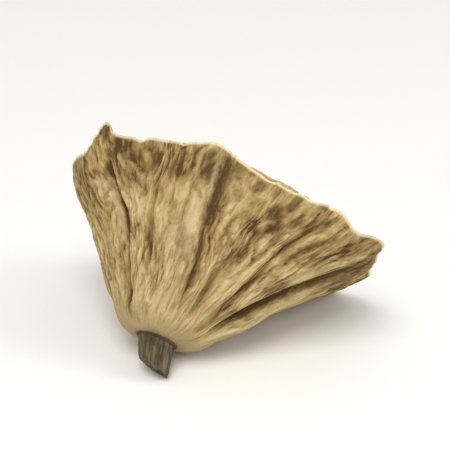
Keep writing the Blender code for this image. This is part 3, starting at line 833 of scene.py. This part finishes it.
def add_ground(skin, face, edge, xy):
    """The ground over these places, the edge's first. Returns the rings at the lips' feet."""
    x, y = xy[FINE:].T
    angle = np.arctan2(y, x)
    nearest, second = face.gaps(x, y)
    share = np.hypot(x, y) / (RIM_RADIUS + rim_out(angle))
    joint = onset(nearest, 0.0009, 0.0008) * smooth((0.0040 - second) / 0.0018)
    fold = margin_fold(angle, share) * onset(share, MARGIN_FROM, MARGIN_OVER)
    # Painted shade in the joints between close mouths and in the margin's folds, then varied at random.
    cavity = 0.65 * joint + 0.5 * fold
    cavity = cavity - 0.22 * grain(x, y, 0.0019, 71) - 0.18 * grain(x, y, 0.0009, 72) - 0.25
    stain = 0.35 * onset(grain(x, y, 0.0028, 74), 0.1, 0.5) * onset(share, 0.80, 0.12)
    ground = skin.add(face.at(x, y), flow_flat(x, y), face=1.0, cavity=cavity, stain=stain)
    numbers = np.concatenate([edge, ground])
    circle = xy * (RIM_RADIUS / (RIM_RADIUS + rim_out(np.arctan2(xy[:, 1], xy[:, 0]))))[:, None]
    loops = [np.arange(FINE)]
    for number in range(len(face.places)):
        loops.append(FINE + number * MOUTH_SIDES + np.arange(MOUTH_SIDES))
    skin.faces += [tuple(numbers[k] for k in corners) for corners in triangles(circle, loops)]
    return [numbers[loop] for loop in loops[1:]]


def triangles(flat, loops):
    """Triangles over flat points, inside the first loop and outside the others."""
    edges = [(int(a), int(b)) for loop in loops for a, b in zip(loop, np.roll(loop, -1))]
    made = delaunay_2d_cdt([Vector(point) * 1000.0 for point in flat], edges, [], 0, 1e-6)
    owner = [ids[0] if ids else -1 for ids in made[3]]
    found = []
    for corners in made[2]:
        a, b, c = (owner[corner] for corner in corners)
        mouths = {(k - FINE) // MOUTH_SIDES for k in (a, b, c)}
        in_mouth = len(mouths) == 1 and 0 <= min(mouths) < len(loops) - 1
        if min(a, b, c) < 0 or in_mouth:
            continue
        p, q, r = flat[a], flat[b], flat[c]
        turn = (q[0] - p[0]) * (r[1] - p[1]) - (q[1] - p[1]) * (r[0] - p[0])
        found.append((a, b, c) if turn > 0 else (a, c, b))
    return found


def fill_points(face):
    """Points spread over the ground between the sockets."""
    draw = np.random.default_rng(FILL_SEED)
    reach = RIM_RADIUS + FILL_REACH
    across = np.arange(-reach, reach, FILL_STEP)
    x, y = np.meshgrid(across, np.arange(-reach, reach, FILL_STEP * 0.866))
    x = x + FILL_STEP / 2.0 * (np.arange(len(x)) % 2)[:, None]
    x = (x + draw.uniform(-FILL_STRAY, FILL_STRAY, x.shape) * FILL_STEP).ravel()
    y = (y + draw.uniform(-FILL_STRAY, FILL_STRAY, y.shape) * FILL_STEP).ravel()
    share = np.hypot(x, y) / (RIM_RADIUS + rim_out(np.arctan2(y, x)))
    nearest, _ = face.gaps(x, y)
    keep = (share < BAND[-1] - BAND_GAP) & (nearest > LIP_FOOT + LIP_GAP)
    return np.column_stack([x[keep], y[keep]])


# The lip round a mouth, from its foot inwards: share of its width, share of its rise, and how light it is,
# partly its own pale colour and partly a painted highlight on its crest.
LIP_ROWS = ((0.76, 0.22, 0.1), (0.52, 0.72, 0.6), (0.30, 1.0, 1.0), (0.10, 0.92, 1.0), (-0.06, 0.45, 0.8))


def add_lip(skin, face, number, sides, foot):
    """The raised lip round one mouth, pale on its crest in patches, partly its own colour and partly a
    painted highlight. Returns its innermost ring.
    """
    turn, half = sides / math.tau, np.full_like(sides, 0.5)
    last = foot
    for share, lift, light in LIP_ROWS:
        x, y = face.round_mouth(number, sides, LIP_FOOT * share)
        rise = LIP_RISE * lift * (1.0 + 0.4 * ripple(turn, half, 14, 1, 90 + number))
        # Patches where the lip's pale colour and painted highlight are weaker.
        worn = np.clip(0.62 + 0.75 * ripple(turn, half, 12, 1, 300 + number), 0.0, 1.0)
        # Painted shade at the lip's foot, where it meets the ground.
        marks = {"face": 1.0, "lip": light * worn, "cavity": 0.3 * (1.0 - light)}
        last = skin.grow(last, face.at(x, y, rise), flow_flat(x, y), **marks)
    return last


def add_cup(skin, face, number, sides, last):
    """The cup inside one mouth, which leans towards the stem and narrows to its end."""
    radii = mouth_radii(number, face.places, sides)
    mouth = face.at(*face.places[number][:, None])[0]
    focus = face.at(np.zeros(1), np.zeros(1))[0] - np.array([0.0, 0.0, SOCKET_FOCUS])
    inward = Vector(focus - mouth).normalized()
    tilt = np.array(Vector((0.0, 0.0, -1.0)).rotation_difference(inward).to_matrix())
    inward = np.array(inward)
    edge = face.at(*face.round_mouth(number, sides, -CUP_EDGE_IN), CUP_EDGE_UP)
    for row in range(1, CUP_ROWS + 1):
        depth = (row / CUP_ROWS) ** 0.9
        full = np.full_like(sides, depth)
        ribs = ripple(sides / math.tau, full, CUP_RIBS, CUP_RIB_ROWS, CUP_RIB_SEED + number)
        r = radii * float(through(SOCKET_PROFILE, depth)) + CUP_RIB_RISE * ribs * smooth(depth / 0.2)
        ring = (tilt @ np.array([*polar(r, sides), 0 * r])).T
        narrowed = mouth + inward * SOCKET_DEPTH * depth + ring
        straight = edge + inward * SOCKET_DEPTH * depth
        share = smooth(depth / 0.35)
        points = straight * (1.0 - share) + narrowed * share
        flow = flow_round(sides, 0.02, 0.3 + number + SOCKET_DEPTH * depth)
        # Painted shade in the grooves between the cup's ribs.
        last = skin.grow(last, points, flow, inside=min(1.0, 0.25 + depth * 2.2), cavity=0.5 * ribs)
    end = mouth + inward * SOCKET_DEPTH * 1.02
    centre = skin.add(end[None], np.array([[0.0, 0.0, 0.3 + number]]), inside=1.0)
    skin.faces += [(a, b, centre[0]) for a, b in zip(last, np.roll(last, -1))]


def lay_down(points):
    """Turns upright points to where the solid lies, and flattens what would be below the ground."""
    c, s = math.cos(ROLL), math.sin(ROLL)
    roll = np.array(((c, -s, 0.0), (s, c, 0.0), (0.0, 0.0, 1.0)))
    c, s = math.cos(LEAN), math.sin(LEAN)
    lean = np.array(((1.0, 0.0, 0.0), (0.0, c, -s), (0.0, s, c)))
    laid = points @ (lean @ roll).T + SHIFT
    laid[:, 2] = np.maximum(laid[:, 2], 0.0)
    return laid


def make_skin(material):
    """The whole skin as one mesh, with what the material reads kept on its points."""
    at = np.arange(FINE) * COLUMNS / FINE
    skin = Skin()
    rim = add_wall(skin, at)
    add_face(skin, rim, at)
    points = lay_down(np.concatenate(skin.points))
    mesh = bpy.data.meshes.new("pod_skin")
    mesh.from_pydata(points.tolist(), [], [tuple(int(i) for i in face) for face in skin.faces])
    for name in Skin.NAMES:
        layer = mesh.attributes.new(name, "FLOAT", "POINT")
        layer.data.foreach_set("value", np.concatenate(skin.marks[name]).astype(np.float32))
    layer = mesh.attributes.new("flow", "FLOAT_VECTOR", "POINT")
    layer.data.foreach_set("vector", np.concatenate(skin.flow).astype(np.float32).ravel())
    mesh.materials.append(material)
    mesh.shade_smooth()
    mesh.update()
    piece = bpy.data.objects.new("pod_skin", mesh)
    bpy.context.scene.collection.objects.link(piece)
    return piece


class Nodes:
    """Short ways to make and join shader nodes."""

    def __init__(self, material):
        material.use_nodes = True
        self.tree = material.node_tree
        self.shader = self.tree.nodes["Principled BSDF"]

    def new(self, kind, **settings):
        """A node of this kind, with these settings."""
        node = self.tree.nodes.new(kind)
        for name, value in settings.items():
            setattr(node, name, value)
        return node

    def put(self, socket, value):
        """Joins an input to another node's output, or sets its value."""
        if isinstance(value, bpy.types.NodeSocket):
            self.tree.links.new(value, socket)
        else:
            socket.default_value = value

    def math(self, operation, a, b=0.0, c=0.0, clamp=False):
        """The result of a sum with up to three values."""
        node = self.new("ShaderNodeMath", operation=operation, use_clamp=clamp)
        for socket, value in zip(node.inputs, (a, b, c)):
            self.put(socket, value)
        return node.outputs[0]

    def more(self, value, weight, base, clamp=False):
        """The base with this much of the value added to it."""
        return self.math("MULTIPLY_ADD", value, weight, base, clamp)

    def sway(self, noise, weight, base):
        """The base, made to sway up and down with a noise."""
        return self.more(self.math("SUBTRACT", noise, 0.5), weight, base)

    def read(self, name, vector=False):
        """A mark of the skin, by its name."""
        node = self.new("ShaderNodeAttribute", attribute_name=name)
        return node.outputs["Vector" if vector else "Fac"]

    def noise(self, where, scale, stretch=(1.0, 1.0, 1.0), detail=3.0, rough=0.55, distortion=0.0):
        """Noise in a space that may be stretched."""
        mapping = self.new("ShaderNodeMapping")
        self.put(mapping.inputs["Vector"], where)
        mapping.inputs["Scale"].default_value = stretch
        node = self.new("ShaderNodeTexNoise")
        self.put(node.inputs["Vector"], mapping.outputs[0])
        values = {"Scale": scale, "Detail": detail, "Roughness": rough, "Distortion": distortion}
        for name, value in values.items():
            node.inputs[name].default_value = value
        return node.outputs[0]

    def ramp(self, value, stops):
        """The colour that a value has among (position, colour) stops."""
        node = self.new("ShaderNodeValToRGB")
        self.put(node.inputs[0], value)
        elements = node.color_ramp.elements
        while len(elements) < len(stops):
            elements.new(0.5)
        for element, (position, colour) in zip(elements, stops):
            element.position = position
            element.color = (*colour, 1.0)
        return node.outputs[0]

    def mix(self, share, a, b):
        """Two colours mixed, with this share of the second."""
        node = self.new("ShaderNodeMix", data_type="RGBA")
        self.put(node.inputs[0], share)
        for socket, colour in ((node.inputs[6], a), (node.inputs[7], b)):
            self.put(socket, colour if isinstance(colour, bpy.types.NodeSocket) else (*colour, 1.0))
        return node.outputs[2]


def pod_material():
    """Dry, matte, gold-beige tissue: stains, painted shade in wrinkles, creases and hollows, painted
    highlights beside folds and on lips, red-brown in sockets, grey on the stub.
    """
    material = bpy.data.materials.new("dried_pod_surface")
    n = Nodes(material)
    flow = n.read("flow", vector=True)
    place = n.new("ShaderNodeTexCoord").outputs["Object"]
    cavity, stain = n.read("cavity"), n.read("stain")
    streak = n.noise(flow, 560.0, (1.0, 1.0, 0.26), 5.0, 0.66, 0.35)
    fibre = n.noise(flow, 2100.0, (1.0, 1.0, 0.16), 3.0, 0.6)
    cloud = n.noise(place, 85.0, detail=3.0)
    speck = n.noise(place, 1500.0, detail=2.0, rough=0.6)

    tone = n.sway(streak, n.more(n.read("collar"), -0.40, 0.90), 0.69)
    for noise, weight in ((fibre, 0.50), (cloud, 0.55), (speck, 0.22)):
        tone = n.sway(noise, weight, tone)
    # Painted shade in hollows, creases and wrinkles, and less of it on ridges.
    tone = n.more(cavity, -0.34, tone)
    # Painted shade along the creases' middle lines.
    tone = n.more(n.read("crease"), -0.55, tone)
    # Stains, with painted shade along creases, in one broad blot and partly below the rim.
    tone = n.more(stain, -0.56, tone, clamp=True)
    wall = n.ramp(tone, (
        (0.00, (0.076, 0.040, 0.011)),
        (0.20, (0.180, 0.110, 0.036)),
        (0.42, (0.310, 0.210, 0.080)),
        (0.62, (0.432, 0.316, 0.133)),
        (0.82, (0.570, 0.440, 0.212)),
        (1.00, (0.685, 0.555, 0.310)),
    ))
    greyed = n.math("MULTIPLY", n.math("SUBTRACT", n.noise(place, 60.0, detail=2.0), 0.45), 2.0, clamp=True)
    greyed = n.math("ADD", n.math("MULTIPLY", greyed, 0.22), n.math("MULTIPLY", stain, 0.12), clamp=True)
    wall = n.mix(greyed, wall, (0.190, 0.132, 0.058))
    wall = n.mix(n.math("MULTIPLY", n.read("collar"), 0.55), wall, (0.600, 0.445, 0.250))

    ground = n.ramp(tone, (
        (0.00, (0.066, 0.035, 0.012)),
        (0.30, (0.225, 0.142, 0.052)),
        (0.55, (0.430, 0.300, 0.128)),
        (0.80, (0.610, 0.455, 0.218)),
        (1.00, (0.730, 0.575, 0.315)),
    ))
    colour = n.mix(n.read("face"), wall, ground)
    # Pale lips and rim edge, partly their own colour, with painted highlights beside folds and on the lips'
    # crests.
    colour = n.mix(n.math("MULTIPLY", n.read("lip"), 0.85), colour, (0.790, 0.645, 0.375))

    stem = n.ramp(n.more(cavity, -0.35, n.sway(streak, 1.2, 0.45), clamp=True), (
        (0.00, (0.025, 0.019, 0.009)),
        (0.35, (0.098, 0.078, 0.043)),
        (0.65, (0.210, 0.172, 0.104)),
        (1.00, (0.380, 0.320, 0.205)),
    ))
    colour = n.mix(n.read("stub"), colour, stem)

    deep = n.ramp(n.more(cavity, -0.25, n.sway(streak, 1.3, 0.5), clamp=True), (
        (0.00, (0.130, 0.056, 0.023)),
        (0.50, (0.350, 0.180, 0.075)),
        (1.00, (0.560, 0.340, 0.155)),
    ))
    colour = n.mix(n.read("inside"), colour, deep)
    n.put(n.shader.inputs["Base Color"], colour)

    rough = n.more(n.read("inside"), -0.14, n.sway(fibre, 0.35, 0.72))
    n.put(n.shader.inputs["Roughness"], n.more(stain, 0.12, rough, clamp=True))
    n.shader.inputs["Specular IOR Level"].default_value = 0.15
    height = n.more(speck, 0.25, n.more(fibre, 0.55, streak))
    bump = n.new("ShaderNodeBump")
    n.put(bump.inputs["Height"], height)
    bump.inputs["Distance"].default_value = 0.0007
    bump.inputs["Strength"].default_value = 1.0
    n.put(n.shader.inputs["Normal"], bump.outputs[0])
    return material


def add_floor():
    """The white ground that the pod lies on, for the picture only."""
    material = bpy.data.materials.new("floor_white")
    shader = Nodes(material).shader
    shader.inputs["Base Color"].default_value = (0.90, 0.90, 0.89, 1.0)
    shader.inputs["Roughness"].default_value = 0.6
    mesh = bpy.data.meshes.new("floor")
    corners = [(x * FLOOR_HALF, y * FLOOR_HALF, 0.0) for x, y in ((-1, -1), (1, -1), (1, 1), (-1, 1))]
    mesh.from_pydata(corners, [], [(0, 1, 2, 3)])
    mesh.materials.append(material)
    floor = bpy.data.objects.new("floor", mesh)
    bpy.context.scene.collection.objects.link(floor)
    floor.location.z = -FLOOR_DROP


def aim(thing, azimuth, elevation, distance):
    """Puts a lamp or the camera at this place round the pod, turned towards it."""
    a, e = math.radians(azimuth), math.radians(elevation)
    way = Vector((math.sin(a) * math.cos(e), -math.cos(a) * math.cos(e), math.sin(e)))
    place = Vector(TARGET) + way * distance
    thing.location = place
    thing.rotation_euler = (Vector(TARGET) - place).to_track_quat("-Z", "Y").to_euler()


def add_studio():
    """Two round lamps, an even white surround and the camera."""
    scene = bpy.context.scene
    for name, azimuth, elevation, distance, size, energy in LAMPS:
        light = bpy.data.lights.new(name, "AREA")
        light.shape = "DISK"
        light.size = size
        light.energy = energy
        light.color = LAMP_COLOUR
        lamp = bpy.data.objects.new(name, light)
        scene.collection.objects.link(lamp)
        aim(lamp, azimuth, elevation, distance)
    world = bpy.data.worlds.new("studio")
    world.use_nodes = True
    background = world.node_tree.nodes["Background"].inputs
    background["Color"].default_value = (1.0, 1.0, 1.0, 1.0)
    background["Strength"].default_value = WORLD_STRENGTH
    scene.world = world
    scene.view_settings.view_transform = "Standard"
    camera = bpy.data.cameras.new("camera")
    camera.lens = LENS
    camera.sensor_width = SENSOR_WIDTH
    camera.clip_start = 0.05
    camera.clip_end = 20.0
    eye = bpy.data.objects.new("camera", camera)
    scene.collection.objects.link(eye)
    aim(eye, CAMERA_AZIMUTH, CAMERA_ELEVATION, CAMERA_DISTANCE)
    scene.camera = eye


def main():
    """Loads the part, makes its skin, the floor and the light."""
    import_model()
    pod = make_skin(pod_material())
    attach(pod, "root")
    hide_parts("lotus_pod")
    add_floor()
    add_studio()


main()
